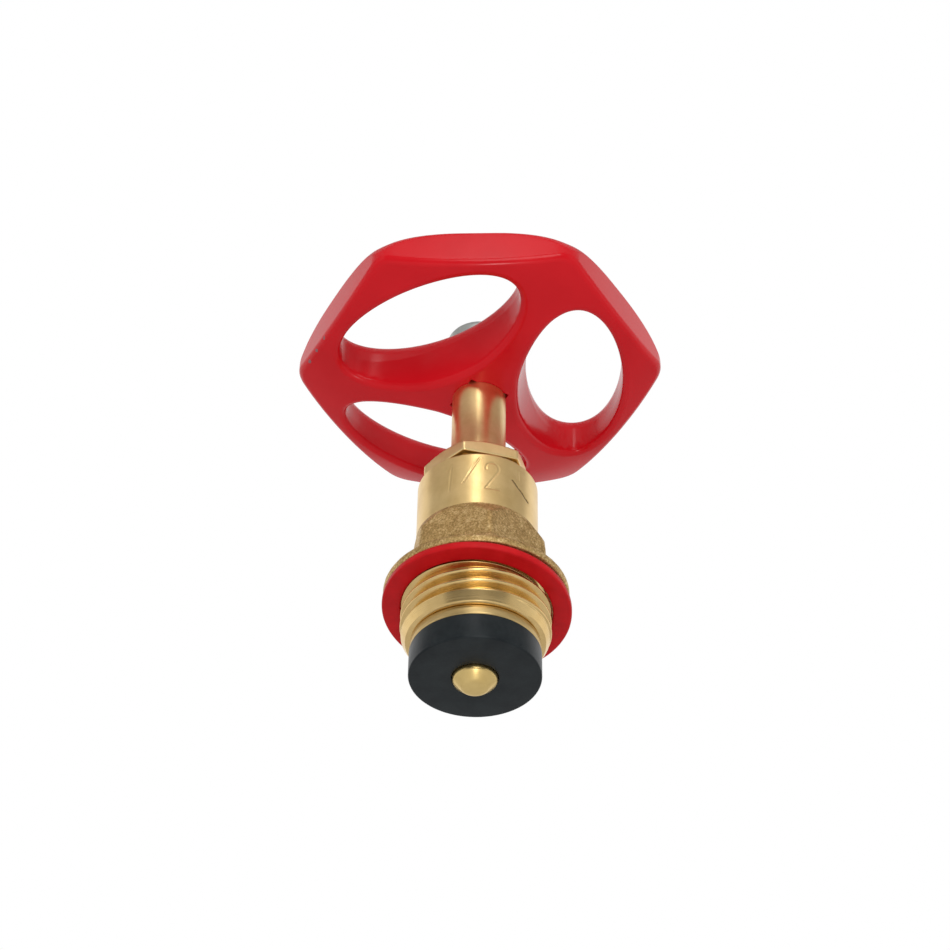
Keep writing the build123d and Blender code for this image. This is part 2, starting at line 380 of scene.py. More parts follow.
def make_bonnet(thread, forged_skin, polished, scratched):
    """Screwed bonnet: pipe thread, flange, forged hexagon and polished barrel."""
    angles = column_angles()
    rings, zones = [], []

    def level(radius, height, zone):
        rings.append((radius, height))
        zones.append(np.full(angles.shape, zone))

    nose = [(NOSE_BORE_R, NOSE_END + 1.0), (NOSE_BORE_R, NOSE_END), (NOSE_BORE_R + 1.0, NOSE_END)]
    for radius, height in softened(nose, NOSE_SOFT):
        level(radius, height, THREAD_SKIN)
    for height in np.arange(NOSE_END, 0.0, THREAD_ROW_STEP):
        cone = LEAD_R + LEAD_SLOPE * (height - NOSE_END)
        level(np.minimum(thread_radius(angles, height), cone), height, THREAD_SKIN)
    level(RELIEF_R, RELIEF_BASE, THREAD_SKIN)
    level(RELIEF_R, FLANGE_BASE, THREAD_SKIN)

    flange = [
        (RELIEF_R + FLANGE_SOFT, FLANGE_BASE), (FLANGE_R, FLANGE_BASE), (FLANGE_R, FLANGE_TOP),
        (SHOULDER_R, SHOULDER_TOP),
    ]
    for radius, height in softened(flange, FLANGE_SOFT):
        level(forged(radius, height, angles, FLANGE_GRAIN), height, FORGED_SKIN)
    hex_wall = hex_radius(angles, HEX_FLAT_R, HEX_ROUND, HEX_TURN)
    for t in np.linspace(0.0, 1.0, FILLET_ROWS)[1:]:
        start, middle, end = (1 - t) ** 2, 2 * t * (1 - t), t**2
        radius = start * SHOULDER_R + middle * (hex_wall + FILLET_PULL) + end * hex_wall
        height = start * SHOULDER_TOP + middle * HEX_BASE + end * FILLET_TOP
        level(forged(radius, height, angles), height, FORGED_SKIN)
    corner_r = HEX_FLAT_R / math.cos(math.pi / 6)
    for height in np.linspace(FILLET_TOP, HEX_TOP + HEX_OVERRUN, HEX_ROWS)[1:]:
        shrink = (height - HEX_BASE) * math.tan(math.radians(HEX_DRAFT))
        wall = hex_radius(angles, HEX_FLAT_R - shrink, HEX_ROUND, HEX_TURN)
        cone = BARREL_R + (HEX_TOP - height) / math.tan(math.radians(HEX_CHAMFER))
        skin = forged(np.minimum(np.minimum(wall, cone), corner_r), height, angles)
        level(np.maximum(skin, BARREL_R), height, np.where(skin > BARREL_R, FORGED_SKIN, POLISHED_SKIN))

    plain_heights = np.linspace(PLAIN_FROM, PLAIN_TO, PLAIN_ROWS)
    mark_heights = np.arange(MARK_FROM, MARK_TO, MARK_ROW_STEP)
    for height in np.concatenate([plain_heights, mark_heights]):
        mark, scratch = stamped_depth(angles, height)
        skin = np.where(scratch > SCRATCH_DARK, SCRATCHED_SKIN, POLISHED_SKIN)
        level(BARREL_R - mark - scratch, height, skin)
    rim = [
        (BARREL_R, RIM_FROM), (BARREL_R, BARREL_TOP - BARREL_CHAMFER),
        (BARREL_R - BARREL_CHAMFER, BARREL_TOP), (GLAND_BORE_R, BARREL_TOP), (GLAND_BORE_R, GLAND_BORE_LIP),
    ]
    for radius, height in softened(rim, BARREL_SOFT):
        level(radius, height, POLISHED_SKIN)
    bores = [
        (GLAND_BORE_R, GLAND_BORE_END), (BOX_R, GLAND_BORE_END), (BOX_R, BOX_END), (STEM_BORE_R, BOX_END),
        (STEM_BORE_R, STEM_BORE_END), (STEM_THREAD_R, STEM_BORE_END), (STEM_THREAD_R, STEM_THREAD_END),
        (NOSE_BORE_R, STEM_THREAD_END),
    ]
    for radius, height in bores:
        level(radius, height, THREAD_SKIN)
    return ring_piece("bonnet_detailed", rings, angles, [thread, forged_skin, polished, scratched], zones)


def make_gland_nut(material):
    """Thin hexagon gland nut with its neck in the barrel."""
    angles = even_angles(GLAND_COLUMNS)
    wall = hex_radius(angles, GLAND_FLAT_R, GLAND_ROUND, GLAND_TURN)
    rings = [(STEM_BORE_R, GLAND_END), (GLAND_NECK_R, GLAND_END), (GLAND_NECK_R, GLAND_BASE)]
    arc = GLAND_SOFT * ARC_MIDDLE
    for back, rise in ((GLAND_LAND, 0.0), (GLAND_SOFT, 0.0), (arc, arc), (0.0, GLAND_SOFT)):
        rings.append((wall - back, GLAND_BASE + rise))
    for height in np.linspace(GLAND_WALL_FROM, GLAND_TOP, GLAND_WALL_ROWS):
        cone = GLAND_FLAT_R + (GLAND_TOP - height) / math.tan(math.radians(GLAND_CHAMFER))
        rings.append((np.minimum(wall, cone), height))
    mouth = [(GLAND_FACE_R, GLAND_TOP), (STEM_BORE_R, GLAND_TOP), (STEM_BORE_R, GLAND_MOUTH)]
    rings += softened(mouth, GLAND_MOUTH_SOFT)
    return ring_piece("gland_nut_detailed", rings, angles, [material])


def make_holder(material, pin_lit_material):
    """Disc holder: pin in front, disc, and the crimped cup that holds the spindle's button."""
    angles = even_angles()
    pin = [
        (AXIS_RING_R, PIN_DOME), (PIN_R - PIN_CHAMFER_WIDTH, PIN_END),
        (PIN_R, PIN_END + PIN_CHAMFER_HEIGHT), (PIN_R, WASHER_BACK),
    ]
    disc = [(HOLDER_R, WASHER_BACK), (HOLDER_R, HOLDER_BACK)]
    cup = [
        (CUP_R, HOLDER_BACK), (CUP_R, CUP_TOP), (CUP_MOUTH_R, CUP_TOP), (CUP_MOUTH_R, CUP_LIP),
        (CUP_BORE_R, CUP_LIP), (CUP_BORE_R, CUP_FLOOR), (AXIS_RING_R, CUP_FLOOR),
    ]
    rings = softened(pin + disc + cup, HOLDER_SOFT)
    # The pin's faces take a lighter copy of the holder's brass: painted light from below
    bands = [PIN_LIT_SKIN if height < WASHER_FACE else HOLDER_SKIN for _, height in rings[:-1]]
    zones = np.repeat(bands + [PIN_LIT_SKIN, HOLDER_SKIN], len(angles))
    tips = (PIN_TIP, CUP_FLOOR)
    return ring_piece("disc_holder_detailed", rings, angles, [material, pin_lit_material], zones, tips)


def moulded_rings(hole_r, outer_r, low, high, seam, soft):
    """Rings of a flat washer with round edges, from a seam in its hole."""
    outline = [
        (hole_r, seam), (hole_r, low), (outer_r, low), (outer_r, high), (hole_r, high), (hole_r, seam),
    ]
    return softened(outline, soft, MOULD_STEPS)[:-1]


def make_washer(material):
    """Rubber seat washer with moulded round edges."""
    rings = moulded_rings(WASHER_HOLE_R, WASHER_R, WASHER_FACE, WASHER_BACK, WASHER_SEAM, WASHER_SOFT)
    return ring_piece("seat_washer_detailed", rings, even_angles(), [material])


def make_gasket(material):
    """Gasket ring that hangs loose below the flange."""
    rings = moulded_rings(GASKET_HOLE_R, GASKET_R, 0.0, GASKET_HEIGHT, GASKET_SEAM, GASKET_SOFT)
    piece = ring_piece("bonnet_gasket_detailed", rings, even_angles(GASKET_COLUMNS), [material])
    tilt = Vector((0, 0, 1)).rotation_difference(Vector((-GASKET_SLOPE_X, -GASKET_SLOPE_Y, 1.0)))
    hang = Matrix.Translation((GASKET_SHIFT * MM, 0, GASKET_DROP * MM))
    piece.data.transform(hang @ tilt.to_matrix().to_4x4())
    return piece


# Handwheel
def hexagon_line(side_steps=60, corner_steps=20):
    """Dense closed outline of the handwheel, anticlockwise."""
    inner_r = WHEEL_R - WHEEL_ROUND / math.cos(math.pi / 6)
    tilt = math.atan2(4 * WHEEL_BULGE, inner_r)
    line = []
    for k in range(6):
        start, end = math.radians(60 * k), math.radians(60 * k + 60)
        a = inner_r * np.array([math.cos(start), math.sin(start)])
        b = inner_r * np.array([math.cos(end), math.sin(end)])
        out = np.array([math.cos((start + end) / 2), math.sin((start + end) / 2)]) * WHEEL_BULGE * 4
        for t in np.linspace(0.0, 1.0, side_steps):
            along = b - a + out * (1 - 2 * t)
            normal = np.array([along[1], -along[0]]) / np.linalg.norm(along)
            line.append(a * (1 - t) + b * t + out * t * (1 - t) + WHEEL_ROUND * normal)
        for turn in np.linspace(end - math.pi / 6 + tilt, end + math.pi / 6 - tilt, corner_steps)[1:-1]:
            line.append(b + WHEEL_ROUND * np.array([math.cos(turn), math.sin(turn)]))
    return np.array(line)


def window_line(turn, steps=1440):
    """Dense closed outline of one window, anticlockwise."""
    angle = np.linspace(0.0, 2 * math.pi, steps, endpoint=False)
    across, along = np.cos(angle), np.sin(angle)
    power = 2.0 / WINDOW_POWER
    u = WINDOW_AT + WINDOW_HALF[0] * np.sign(across) * np.abs(across) ** power
    v = WINDOW_HALF[1] * np.sign(along) * np.abs(along) ** power
    c, s = math.cos(math.radians(turn)), math.sin(math.radians(turn))
    return np.stack([u * c - v * s, u * s + v * c], axis=1)


def hole_points(side_steps=15):
    """Points round the square hole, anticlockwise."""
    turns = np.radians(HOLE_TURN + np.array([45.0, 135.0, 225.0, 315.0]))
    corners = HOLE_HALF * math.sqrt(2) * np.stack([np.cos(turns), np.sin(turns)], axis=1)
    steps = np.linspace(0.0, 1.0, side_steps + 1)[:-1]
    return np.array([corners[k] * (1 - t) + corners[(k + 1) % 4] * t for k in range(4) for t in steps])


def in_hole(points):
    """Whether each point is inside the square hole."""
    turn = math.radians(HOLE_TURN)
    u = points[:, 0] * math.cos(turn) + points[:, 1] * math.sin(turn)
    v = points[:, 1] * math.cos(turn) - points[:, 0] * math.sin(turn)
    return np.maximum(np.abs(u), np.abs(v)) < HOLE_HALF


def even_loop(line, step):
    """Closed line divided evenly, with the normal on its left at each point."""
    closed = np.vstack([line, line[:1]])
    length = np.concatenate([[0.0], np.cumsum(np.linalg.norm(np.diff(closed, axis=0), axis=1))])
    places = np.linspace(0.0, length[-1], int(length[-1] / step), endpoint=False)
    points = np.stack([np.interp(places, length, closed[:, k]) for k in (0, 1)], axis=1)
    along = np.roll(points, -1, axis=0) - np.roll(points, 1, axis=0)
    along /= np.linalg.norm(along, axis=1)[:, None]
    return points, np.stack([-along[:, 1], along[:, 0]], axis=1)


def rim_rows():
    """Distances of the rows of points beside the outer edge, closest together at the edge."""
    return max(RIM_ROUND) * (1.0 - np.cos(np.linspace(0.0, math.pi / 2, RIM_ROWS)))


def window_rows():
    """Distances of the rows of points beside a window."""
    even = np.arange(WINDOW_FIRST_ROWS[-1], WINDOW_LAST_ROWS[0], WINDOW_ROW_STEP)[1:]
    return np.concatenate([WINDOW_FIRST_ROWS, even, WINDOW_LAST_ROWS])


class Edge:
    """One closed edge of the handwheel's plan, with its roundings above and below.

    The side is 1 where the material lies to the left of the line and -1 where it lies to the right.
    """

    def __init__(self, line, sizes, side, rows, drafted):
        self.points, left = even_loop(line, EDGE_STEP)
        self.inward = side * left
        self.sizes = sizes
        self.side = side
        self.rows = rows
        self.drafted = drafted
        dense, left = even_loop(line, DENSE_STEP)
        self.dense_inward = side * left
        self.tree = kdtree.KDTree(len(dense))
        for k, (x, y) in enumerate(dense):
            self.tree.insert((x, y, 0.0), k)
        self.tree.balance()

    def distance(self, points):
        """Distance into the material at each point, and the direction away from the edge."""
        found = [self.tree.find((x, y, 0.0)) for x, y in points]
        away = points - np.array([place[:2] for place, _, _ in found])
        inward = self.dense_inward[[k for _, k, _ in found]]
        inside = np.sign((away * inward).sum(axis=1))
        far = np.array([gap for _, _, gap in found])
        return inside * far, inward


def rounding(distance, radius, draft, height):
    """Drop of a rounded edge at each distance from it, and its slope.

    The wall beyond the rounding leans by the draft up to the height.
    """
    lean = np.radians(draft)
    start = (height - radius * (1.0 - np.sin(lean))) * np.tan(lean)
    across = np.clip(start + radius * np.cos(lean) - distance, 0.0, radius * np.cos(lean))
    rise = np.sqrt(radius**2 - across**2)
    wall = np.clip(start - distance, 0.0, None) / np.tan(lean)
    return radius - rise + wall, -across / rise


def crown(points, values):
    """Height of a face of the handwheel, before its edges are rounded, and its slope at each point."""
    radius = np.linalg.norm(points, axis=1)
    q = radius / CROWN_R
    base, rise, lip, power = values
    slope = (2 * rise * q + power * lip * q ** (power - 1)) / CROWN_R
    outward = points / radius[:, None]
    return base + rise * q**2 + lip * q**power, slope[:, None] * outward


def wheel_face(points, edges, distances, side):
    """Heights and normals of the handwheel's top (side 0) or underside (side 1)."""
    sign = 1.0 - 2.0 * side
    height, slope = crown(points, (WHEEL_TOP, WHEEL_UNDER)[side])
    radius = np.linalg.norm(points, axis=1)
    for edge, (distance, away) in zip(edges, distances):
        draft, wall = NO_DRAFT, edge.sizes[side]
        if side == 1 and edge.drafted:
            draft = np.interp(radius, DRAFT_AT, DRAFT)
            wall = np.interp(radius, DRAFT_AT, DRAFT_HEIGHT)
        drop, steep = rounding(distance, edge.sizes[side], draft, wall)
        height = height - sign * drop
        slope = slope - sign * steep[:, None] * away
    if side == 0:
        t = np.clip((SCREW_SEAT_R + SCREW_SEAT_SLOPE - radius) / SCREW_SEAT_SLOPE, 0.0, 1.0)
        height = height - SCREW_SEAT_DEPTH * t**2 * (3 - 2 * t)
    normal = np.column_stack([-sign * slope, np.full(len(points), sign)])
    return height, normal / np.linalg.norm(normal, axis=1)[:, None]


def wheel_plan(edges):
    """Flat points of the handwheel and its distances from each edge; edge points come first."""
    hole = hole_points()
    groups = [(hole, None, None, None)]
    for depth, k in sorted((depth, k) for k, edge in enumerate(edges) for depth in edge.rows):
        edge = edges[k]
        moved = edge.points + depth * edge.inward
        keep = np.ones(len(moved), bool)
        if depth > 0.0:
            keep = np.linalg.norm(moved, axis=1) > HOLE_CLEAR
            for other in edges:
                if other is not edge:
                    keep &= other.distance(moved)[0] > depth + POINT_GAP
        groups.append((moved[keep], edge, depth, edge.inward[keep]))
    lines = np.arange(-WHEEL_R, WHEEL_R, FIELD_ROW_STEP)
    columns = np.arange(-WHEEL_R, WHEEL_R, FIELD_STEP)
    field = np.array([(x + FIELD_STEP / 2 * (k % 2), y) for k, y in enumerate(lines) for x in columns])
    inside = np.linalg.norm(field, axis=1) > HOLE_CLEAR
    for edge in edges:
        inside &= edge.distance(field)[0] > max(edge.sizes) + FIELD_STEP / 2
    groups.append((field[inside], None, None, None))
    points = np.concatenate([group[0] for group in groups])
    distances = []
    for edge in edges:
        distance, away = edge.distance(points)
        first = 0
        for group, owner, depth, inward in groups:
            if owner is edge:
                distance[first:first + len(group)] = depth
                away[first:first + len(group)] = inward
            first += len(group)
        distances.append((distance, away))
    return points, distances, len(hole)


def wheel_triangles(points, edges, loops):
    """Triangles of the handwheel's plan, without those in its hole, in its windows and outside it."""
    borders = [pair for loop in loops for pair in zip(loop.tolist(), np.roll(loop, -1).tolist())]
    flat = [Vector(point) for point in points.tolist()]
    _, _, triangles, origins, _, _ = geometry.delaunay_2d_cdt(flat, borders, [], 0, MERGE_GAP)
    triangles = np.array([[origins[k][0] for k in triangle] for triangle in triangles])
    middles = points[triangles].mean(axis=1)
    solid = ~in_hole(middles)
    for edge in edges:
        solid &= edge.distance(middles)[0] > 0.0
    return triangles[solid].tolist()


def make_handwheel(material):
    """Cast handwheel with rounded edges, oval windows and a square hole."""
    edges = [Edge(hexagon_line(), RIM_ROUND, 1, rim_rows(), drafted=False)]
    for turn in WINDOW_TURNS:
        edges.append(Edge(window_line(turn), WINDOW_ROUND, -1, window_rows(), drafted=True))
    points, distances, hole_count = wheel_plan(edges)
    loops = [np.arange(hole_count)]
    for edge in edges:
        loops.append(loops[-1][-1] + 1 + np.arange(len(edge.points)))
    triangles = wheel_triangles(points, edges, loops)

    count = len(points)
    places, normals = [], []
    for side in (0, 1):
        height, normal = wheel_face(points, edges, distances, side)
        places.append(np.column_stack([points, height]))
        normals.append(normal)
    faces = triangles + [[count + k for k in reversed(triangle)] for triangle in triangles]
    for edge, loop in zip(edges, loops[1:]):
        rows = [loop]
        for t in np.linspace(0.0, 1.0, WALL_ROWS + 1)[1:-1]:
            start = sum(len(group) for group in places)
            places.append(places[0][loop] * (1 - t) + places[1][loop] * t)
            normals.append(np.column_stack([-edge.inward, np.zeros(len(loop))]))
            rows.append(start + np.arange(len(loop)))
        rows.append(count + loop)
        for upper, lower in zip(rows, rows[1:]):
            quads = np.stack([lower, np.roll(lower, -1), np.roll(upper, -1), upper], axis=1)
            faces += quads[:, ::edge.side].tolist()
    hole = loops[0]
    hole_quads = np.stack([hole, np.roll(hole, -1), count + np.roll(hole, -1), count + hole], axis=1)

    places, normals = np.concatenate(places), np.concatenate(normals)
    corner_normals = [normals[k] for face in faces for k in face]
    for face in hole_quads:
        inward = np.cross(places[face[1]] - places[face[0]], places[face[2]] - places[face[1]])
        corner_normals += [inward / np.linalg.norm(inward)] * 4
    c, s = math.cos(math.radians(WHEEL_TURN)), math.sin(math.radians(WHEEL_TURN))
    turned = np.array([(c, s, 0), (-s, c, 0), (0, 0, 1)])
    mesh = bpy.data.meshes.new("handwheel_detailed")
    mesh.from_pydata((places @ turned * MM).tolist(), [], faces + hole_quads.tolist())
    mesh.materials.append(material)
    mesh.shade_smooth()
    mesh.normals_split_custom_set((np.array(corner_normals) @ turned).tolist())
    piece = bpy.data.objects.new("handwheel_detailed", mesh)
    bpy.context.scene.collection.objects.link(piece)
    return piece


# Materials
def node(tree, kind, inputs=None, **settings):
    """Adds a shader node; an input is a plain value or another node's output."""
    made = tree.nodes.new(kind)
    for key, value in settings.items():
        setattr(made, key, value)
    for key, value in (inputs or {}).items():
        socket = made.inputs[key]
        if isinstance(value, bpy.types.NodeSocket):
            tree.links.new(value, socket)
        else:
            socket.default_value = value
    return made


def blank_material(name, **values):
    """Material with its Principled shader's own values set."""
    made = bpy.data.materials.new(name)
    made.use_nodes = True
    tree = made.node_tree
    shader = tree.nodes["Principled BSDF"]
    for key, value in values.items():
        shader.inputs[key.replace("_", " ")].default_value = value
    return made, tree, shader


def ramp(tree, factor, stops):
    """Colour ramp through (place, colour) stops."""
    made = node(tree, "ShaderNodeValToRGB", {"Fac": factor})
    elements = made.color_ramp.elements
    while len(elements) < len(stops):
        elements.new(0.5)
    for element, (place, colour) in zip(elements, stops):
        element.position = place
        element.color = (*colour, 1.0)
    return made.outputs["Color"]


NOISE_RANGE = (0.3, 0.7)


def spread(tree, value, low, high):
    """Maps noise from its usual range to another."""
    from_low, from_high = NOISE_RANGE
    inputs = {"Value": value, "From Min": from_low, "From Max": from_high, "To Min": low, "To Max": high}
    return node(tree, "ShaderNodeMapRange", inputs).outputs["Result"]


def two_tones(tree, value, dark, light):
    """Colour that goes from dark to light over the usual range of noise."""
    return ramp(tree, value, list(zip(NOISE_RANGE, (dark, light))))


def object_place(tree):
    """Place on the object, in metres."""
    return node(tree, "ShaderNodeTexCoord").outputs["Object"]


def noise_of(tree, vector, scale, detail=3.0, roughness=0.5):
    """Noise at a place, between 0 and 1."""
    inputs = {"Vector": vector, "Scale": scale, "Detail": detail, "Roughness": roughness}
    return node(tree, "ShaderNodeTexNoise", inputs).outputs["Fac"]


def math_of(tree, operation, first, second):
    """Result of an operation on two numbers."""
    return node(tree, "ShaderNodeMath", {0: first, 1: second}, operation=operation).outputs["Value"]


# How much of the place across the axis counts, so that tool marks change slowly on their way round
AROUND_SHARE = 0.02


def lathe_place(tree, place):
    """(radius, height) coordinates, so that noise makes rings round the spindle axis."""
    flat = node(tree, "ShaderNodeVectorMath", {0: place, 1: (1, 1, 0)}, operation="MULTIPLY")
    radius = node(tree, "ShaderNodeVectorMath", {0: flat.outputs["Vector"]}, operation="LENGTH")
    parts = node(tree, "ShaderNodeSeparateXYZ", {"Vector": place}).outputs
    around = math_of(tree, "MULTIPLY", parts["X"], AROUND_SHARE)
    inputs = {"X": radius.outputs["Value"], "Y": parts["Z"], "Z": around}
    return node(tree, "ShaderNodeCombineXYZ", inputs).outputs["Vector"]


def bump(tree, shader, height, depth):
    """Gives the shader a bump of a depth in metres."""
    made = node(tree, "ShaderNodeBump", {"Height": height, "Distance": depth, "Strength": 1.0})
    tree.links.new(made.outputs["Normal"], shader.inputs["Normal"])


# Depths of tool marks, in metres
TOOL_MARKS = 0.000003
FINE_MARKS = 0.0000006


def turned_brass(name, dark, light, rough, mark_depth=TOOL_MARKS):
    """Turned brass: fine tool marks round the axis and slightly uneven tarnish."""
    made, tree, shader = blank_material(name, Metallic=1.0)
    place = object_place(tree)
    marks = noise_of(tree, lathe_place(tree, place), scale=5200.0, detail=2.0)
    stain = noise_of(tree, place, scale=260.0, detail=4.0, roughness=0.6)
    tree.links.new(ramp(tree, stain, [(0.3, dark), (0.62, light)]), shader.inputs["Base Color"])
    tree.links.new(spread(tree, marks, *rough), shader.inputs["Roughness"])
    bump(tree, shader, marks, mark_depth)
    return made


def forged_brass():
    """Shot-blasted forging: bright grains over brown brass."""
    made, tree, shader = blank_material("forged_brass_skin", Metallic=1.0)
    place = object_place(tree)
    grain = noise_of(tree, place, scale=3600.0, detail=5.0, roughness=0.72)
    patch = noise_of(tree, place, scale=900.0, detail=4.0, roughness=0.6)
    mixed = node(tree, "ShaderNodeMix", {"Factor": 0.35, "A": grain, "B": patch}).outputs["Result"]
    stops = [(0.34, (0.3, 0.19, 0.07)), (0.5, (0.56, 0.365, 0.14)), (0.64, (0.86, 0.66, 0.34))]
    tree.links.new(ramp(tree, mixed, stops), shader.inputs["Base Color"])
    tree.links.new(spread(tree, grain, 0.62, 0.42), shader.inputs["Roughness"])
    bump(tree, shader, grain, depth=0.00007)
    return made


# Chips in the enamel, in millimetres, with edges between two shares of their radius
CHIPS = [(-25.5, -2.9, 44.1), (-24.4, -5.5, 43.8), (-23.3, -8.3, 43.8)]
CHIP_R = 0.34
CHIP_EDGE = (0.7, 1.3)
CHIP_COLOUR = (0.27, 0.1, 0.11, 1.0)


def chipped(tree, place):
    """One inside the paint chips and zero elsewhere, with ragged edges."""
    uneven = noise_of(tree, place, scale=2500.0, detail=2.0)
    edge = spread(tree, uneven, *(share * CHIP_R * MM for share in CHIP_EDGE))
    total = 0.0
    for chip in CHIPS:
        centre = tuple(value * MM for value in chip)
        far = node(tree, "ShaderNodeVectorMath", {0: place, 1: centre}, operation="DISTANCE")
        inside = math_of(tree, "LESS_THAN", far.outputs["Value"], edge)
        total = math_of(tree, "MAXIMUM", total, inside)
    return total


def red_enamel():
    """Gloss enamel on a casting, with small chips at one corner."""
    made, tree, shader = blank_material("red_enamel_gloss", Specular_IOR_Level=0.17)
    place = object_place(tree)
    tone = noise_of(tree, place, scale=120.0)
    peel = noise_of(tree, place, scale=420.0, detail=1.0)
    paint = two_tones(tree, tone, (0.57, 0.0055, 0.011), (0.63, 0.0075, 0.014))
    inputs = {0: chipped(tree, place), 6: paint, 7: CHIP_COLOUR}
    colour = node(tree, "ShaderNodeMix", inputs, data_type="RGBA").outputs[2]
    tree.links.new(colour, shader.inputs["Base Color"])
    tree.links.new(spread(tree, tone, 0.17, 0.24), shader.inputs["Roughness"])
    bump(tree, shader, peel, depth=0.000005)
    return made


def gasket_red():
    """Smooth red fibre."""
    made, tree, shader = blank_material("gasket_red_fibre", Specular_IOR_Level=0.14)
    place = object_place(tree)
    tone = noise_of(tree, place, scale=420.0, detail=4.0, roughness=0.6)
    colour = two_tones(tree, tone, (0.47, 0.003, 0.006), (0.57, 0.006, 0.01))
    tree.links.new(colour, shader.inputs["Base Color"])
    tree.links.new(spread(tree, tone, 0.38, 0.5), shader.inputs["Roughness"])
    bump(tree, shader, noise_of(tree, place, scale=2600.0), depth=0.000012)
    return made


def black_rubber():
    """Moulded rubber with a faint grey bloom."""
    made, tree, shader = blank_material("black_rubber_moulded", Specular_IOR_Level=0.19)
    place = object_place(tree)
    bloom = noise_of(tree, place, scale=300.0, detail=5.0, roughness=0.65)
    colour = ramp(tree, bloom, [(0.35, (0.007, 0.01, 0.012)), (0.68, (0.015, 0.02, 0.022))])
    tree.links.new(colour, shader.inputs["Base Color"])
    tree.links.new(spread(tree, bloom, 0.3, 0.42), shader.inputs["Roughness"])
    bump(tree, shader, noise_of(tree, place, scale=2400.0, detail=4.0, roughness=0.6), depth=0.00001)
    return made


def zinc_steel():
    """Zinc plating with faint turning rings."""
    made, tree, shader = blank_material("zinc_steel_plate", Metallic=1.0)
    place = object_place(tree)
    marks = noise_of(tree, lathe_place(tree, place), scale=3000.0, detail=2.0)
    colour = two_tones(tree, marks, (0.46, 0.47, 0.45), (0.6, 0.61, 0.58))
    tree.links.new(colour, shader.inputs["Base Color"])
    tree.links.new(spread(tree, marks, 0.3, 0.44), shader.inputs["Roughness"])
    bump(tree, shader, marks, depth=0.00001)
    return made


def packing_grey():
    """Pressed packing fibre."""
    made, tree, shader = blank_material("packing_grey_fibre", Roughness=0.85)
    fibre = noise_of(tree, object_place(tree), scale=1800.0, detail=5.0, roughness=0.7)
    colour = two_tones(tree, fibre, (0.14, 0.14, 0.13), (0.3, 0.3, 0.29))
    tree.links.new(colour, shader.inputs["Base Color"])
    bump(tree, shader, fibre, depth=0.00006)
    return made


def dress(name, material):
    """Gives a CAD node's object a better material."""
    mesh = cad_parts[name].data
    mesh.materials.clear()
    mesh.materials.append(material)


thread_brass = turned_brass("thread_brass", (0.68, 0.46, 0.18), (0.8, 0.57, 0.25), rough=(0.2, 0.28))
barrel_brass = turned_brass("barrel_brass", (0.74, 0.51, 0.21), (0.86, 0.62, 0.28), rough=(0.29, 0.36))
stem_brass = turned_brass("stem_brass", (0.76, 0.55, 0.24), (0.9, 0.68, 0.33), (0.31, 0.34), FINE_MARKS)
holder_brass = turned_brass("holder_brass", (0.55, 0.39, 0.165), (0.64, 0.46, 0.205), rough=(0.34, 0.44))
# Lighter copy of the holder's brass for the pin: painted light from below
pin_lit_brass = turned_brass("pin_lit_brass", (0.7, 0.5, 0.19), (0.8, 0.59, 0.24), rough=(0.28, 0.36))
packing = packing_grey()
scratch_brass = turned_brass("scratch_brass", (0.2, 0.13, 0.05), (0.3, 0.2, 0.09), rough=(0.4, 0.5))

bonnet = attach(make_bonnet(thread_brass, forged_brass(), barrel_brass, scratch_brass), "bonnet")
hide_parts("bonnet")
gland_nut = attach(make_gland_nut(stem_brass), "bonnet")
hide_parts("gland_nut")
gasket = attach(make_gasket(gasket_red()), "bonnet")
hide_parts("bonnet_gasket")
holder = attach(make_holder(holder_brass, pin_lit_brass), "disc")
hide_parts("disc_holder")
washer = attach(make_washer(black_rubber()), "disc")
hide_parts("seat_washer")
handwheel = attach(make_handwheel(red_enamel()), "stem")
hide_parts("handwheel")
dress("handwheel_screw", zinc_steel())
for name in ("spindle", "packing_washer", "gland_follower"):
    dress(name, stem_brass)
for name in ("packing_ring_lower", "packing_ring_upper"):
    dress(name, packing)


# Camera, floor and light: the camera's place is in millimetres, the stage in metres.
# A wall has a place, a size and a grey, a lamp a place, a size and a power in watts.
FOCAL_PIXELS = 2395.15
IMAGE_PIXELS = 950.0
SENSOR = 36.0
CAMERA_AT = Vector((-0.4403, -260.5616, -206.4521)) * MM
CAMERA_AIM = Vector((0.0, 0.748377, 0.663273))
CAMERA_ROLL = 0.912
NEAREST_SEEN = 0.01
STAGE_MIDDLE = (0, 0, 0.02)
FLOOR_HEIGHT = -0.5
FLOOR_SIZE = 8.0
WALLS = [
    ("left_wall", (-0.62, -0.2, 0.52), 0.76, 0.65),
    ("right_wall", (0.62, -0.2, 0.52), 0.76, 0.62),
    ("camera_wall", (0.0, -1.05, -0.1), 2.02, 0.16),
    ("ceiling", (0.0, -0.05, 0.95), 1.3, 0.65),
]
LAMPS = [
    ("front_lamp", (0.1, -0.91, 0.1), 0.5, 2.7),
    ("low_lamp", (0.03, -0.42, -0.42), 0.08, 0.4),
    ("top_lamp", (-0.04, -0.76, 0.65), 0.22, 0.52),
]
AMBIENT = 0.68
FLOOR_GREY = 0.87
GREY_RANGE = 0.01
MATT = 0.9


def make_camera():
    """Camera where the photograph was taken from."""
    data = bpy.data.cameras.new("camera")
    data.sensor_width = SENSOR
    data.lens = SENSOR * FOCAL_PIXELS / IMAGE_PIXELS
    data.clip_start = NEAREST_SEEN
    camera = bpy.data.objects.new("camera", data)
    right = CAMERA_AIM.cross(Vector((0, 0, 1))).normalized()
    up = right.cross(CAMERA_AIM).normalized()
    axes = Matrix((right, up, -CAMERA_AIM)).transposed().to_4x4()
    roll = Matrix.Rotation(math.radians(CAMERA_ROLL), 4, "Z")
    camera.matrix_world = Matrix.Translation(CAMERA_AT) @ axes @ roll
    bpy.context.scene.collection.objects.link(camera)
    bpy.context.scene.camera = camera


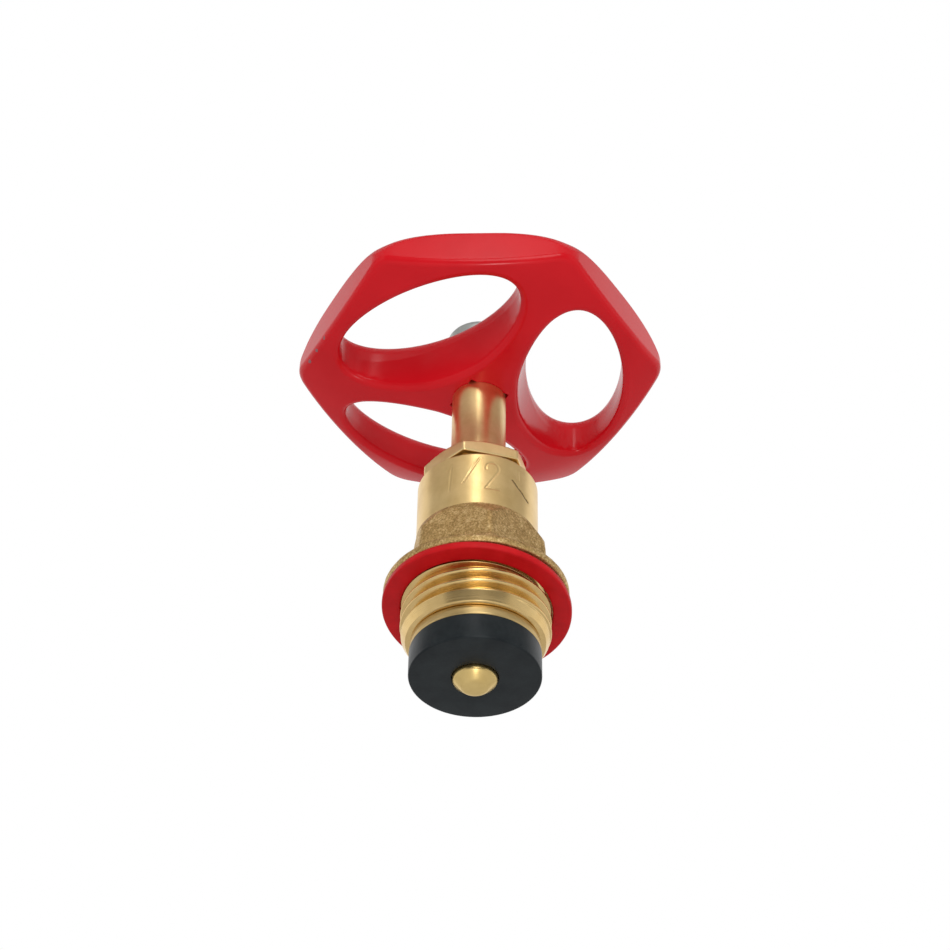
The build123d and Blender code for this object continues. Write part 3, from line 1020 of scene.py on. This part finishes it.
def plane(name, centre, facing, size, material):
    """Square stage plane that faces a point."""
    half = size / 2
    mesh = bpy.data.meshes.new(name)
    corners = [(-half, -half, 0), (half, -half, 0), (half, half, 0), (-half, half, 0)]
    mesh.from_pydata(corners, [], [(0, 1, 2, 3)])
    mesh.materials.append(material)
    made = bpy.data.objects.new(name, mesh)
    made.location = centre
    made.rotation_mode = "QUATERNION"
    made.rotation_quaternion = (Vector(facing) - Vector(centre)).to_track_quat("Z", "Y")
    bpy.context.scene.collection.objects.link(made)
    return made


def matt_grey(name, grey):
    """Matt, almost even grey of the floor and the studio walls."""
    made, tree, shader = blank_material(name, Roughness=MATT)
    tone = noise_of(tree, object_place(tree), scale=3.0)
    colour = two_tones(tree, tone, (grey - GREY_RANGE,) * 3, (grey + GREY_RANGE,) * 3)
    tree.links.new(colour, shader.inputs["Base Color"])
    return made


def lamp(name, place, size, power):
    """Round lamp that shines on the middle of the stage and isn't seen itself."""
    data = bpy.data.lights.new(name, "AREA")
    data.shape = "DISK"
    data.size = size
    data.energy = power
    made = bpy.data.objects.new(name, data)
    made.location = place
    made.rotation_mode = "QUATERNION"
    made.rotation_quaternion = (Vector(STAGE_MIDDLE) - Vector(place)).to_track_quat("-Z", "Y")
    made.visible_camera = False
    bpy.context.scene.collection.objects.link(made)


def make_world(ambient):
    """Soft even light; the camera, reflections and transmission see plain white."""
    world = bpy.data.worlds.new("studio")
    bpy.context.scene.world = world
    world.use_nodes = True
    tree = world.node_tree
    tree.nodes.clear()
    path = node(tree, "ShaderNodeLightPath").outputs
    seen = math_of(tree, "MAXIMUM", path["Is Camera Ray"], path["Is Glossy Ray"])
    seen = math_of(tree, "MAXIMUM", seen, path["Is Transmission Ray"])
    soft = node(tree, "ShaderNodeBackground", {"Color": (1, 1, 1, 1), "Strength": ambient})
    white = node(tree, "ShaderNodeBackground", {"Color": (1, 1, 1, 1), "Strength": 1.0})
    mixed = node(tree, "ShaderNodeMixShader", {0: seen, 1: soft.outputs[0], 2: white.outputs[0]})
    node(tree, "ShaderNodeOutputWorld", {"Surface": mixed.outputs[0]})


make_camera()
make_world(AMBIENT)
plane("floor", (0, 0, FLOOR_HEIGHT), (0, 0, 1), FLOOR_SIZE, matt_grey("pale_floor", FLOOR_GREY))
# The walls are seen only in reflections
for name, place, size, grey in WALLS:
    card = plane(name, place, STAGE_MIDDLE, size, matt_grey(name, grey))
    card.visible_camera = False
    card.visible_diffuse = False
    card.visible_shadow = False
for name, place, size, power in LAMPS:
    lamp(name, place, size, power)
bpy.context.scene.view_settings.view_transform = "Standard"
